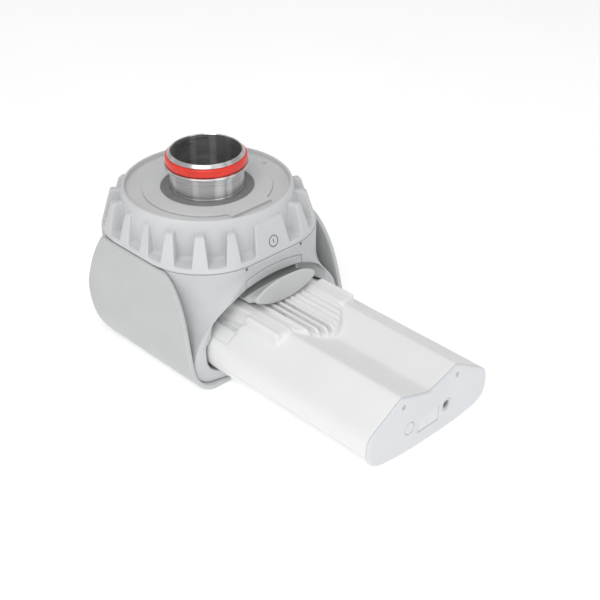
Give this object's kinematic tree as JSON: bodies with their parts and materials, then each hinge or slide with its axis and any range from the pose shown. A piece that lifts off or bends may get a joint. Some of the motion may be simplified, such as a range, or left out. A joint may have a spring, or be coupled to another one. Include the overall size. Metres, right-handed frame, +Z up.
{
  "type": "motorised actuator head",
  "caption": "Battery-driven rotary actuator head: drum body in a U-shaped shell, ribbed cap, sealed steel drive tube and a slide-in twin-lobed battery pack.",
  "frame": {"origin": "on the drive tube axis at the face the head rests on", "axes": "+Z up along the drive tube axis, -Y towards the battery pack, +X to the right seen from the pack"},
  "size_m": [0.1338, 0.2559, 0.1276],
  "materials": {
    "grey_shell": "fine moulded texture",
    "grey_body": "fine moulded texture",
    "grey_cap": "fine moulded texture",
    "grey_button": "fine moulded texture",
    "white_pack": "satin moulded",
    "end_white": "satin moulded",
    "window_plastic": "smooth",
    "dark_rubber": "satin",
    "red_seal": "smooth",
    "dark_plastic": "matt",
    "gear_plastic": "natural acetal",
    "brushed_steel": "brushed round the axis",
    "spring_steel": "bright drawn",
    "screw_steel": "zinc plated",
    "motor_steel": "plated steel can",
    "chassis_aluminium": "die cast",
    "brass": "bright",
    "board_green": "solder mask",
    "lead_cover": "satin",
    "cell_can": "sleeved can"
  },
  "bodies": {
    "head": {"outer_shell": "grey_shell", "lower_housing": "grey_body", "arch_insert": "grey_body", "cap_housing": "grey_cap", "top_disc": "grey_cap", "tube_wiper": "dark_rubber", "upper_bush": "dark_plastic", "lower_bush": "dark_plastic", "chassis_plate": "chassis_aluminium", "chassis_screws": "screw_steel", "shell_screws": "screw_steel", "cap_screws": "screw_steel", "idler_pin": "spring_steel", "idler_clip": "spring_steel", "motor_can": "motor_steel", "motor_end_cap": "dark_plastic", "motor_screws": "screw_steel", "control_board": "board_green", "board_components": "dark_plastic", "board_screws": "screw_steel", "motor_leads": "lead_cover", "contact_block": "dark_plastic", "contact_blades": "brass", "latch_spring": "spring_steel"},
    "output": {"drive_tube": "brushed_steel", "seal_ring": "red_seal", "drive_socket": "dark_plastic", "retaining_ring": "spring_steel", "output_gear": "gear_plastic"},
    "idler": {"idler_gear": "gear_plastic"},
    "rotor": {"motor_shaft": "spring_steel", "motor_pinion": "brass"},
    "latch": {"latch_button": "grey_button"},
    "pack": {"pack_upper_shell": "white_pack", "pack_lower_shell": "white_pack", "contact_deck": "white_pack", "terminal_clips": "spring_steel", "pack_end_cap": "end_white", "pack_end_screws": "screw_steel", "charge_jack": "dark_plastic", "indicator_window": "window_plastic", "battery_cells": "cell_can", "cell_holders": "dark_plastic", "cell_straps": "spring_steel", "pack_board": "board_green"},
    "status": {"status_button": "end_white"}
  },
  "joints": [
    {"name": "tube_spin", "type": "hinge", "parent": "head", "child": "output", "pos_m": [0, 0, 0.09], "axis": [0, 0, 1], "continuous": true},
    {"name": "idler_spin", "type": "hinge", "parent": "head", "child": "idler", "pos_m": [0.022, 0.03811, 0.078], "axis": [0, 0, 1], "continuous": true},
    {"name": "rotor_spin", "type": "hinge", "parent": "head", "child": "rotor", "pos_m": [0.00607, 0.0456, 0.06], "axis": [0, 0, 1], "continuous": true},
    {"name": "pack_slide", "type": "slide", "parent": "head", "child": "pack", "axis": [0, -1, 0], "range_m": [-0.04, 0.024]},
    {"name": "latch_press", "type": "slide", "parent": "head", "child": "latch", "axis": [0, 1, 0], "range_m": [0, 0.0025], "stiffness_N_per_m": 400, "springref_m": -0.001, "deforming": ["latch_spring"]},
    {"name": "status_press", "type": "slide", "parent": "pack", "child": "status", "axis": [0, 1, 0], "range_m": [0, 0.0007], "stiffness_N_per_m": 300, "springref_m": -0.0005}
  ],
  "couplings": [
    {"joint": "idler_spin", "follows": "tube_spin", "ratio": -4.5},
    {"joint": "rotor_spin", "follows": "tube_spin", "ratio": 12}
  ]
}
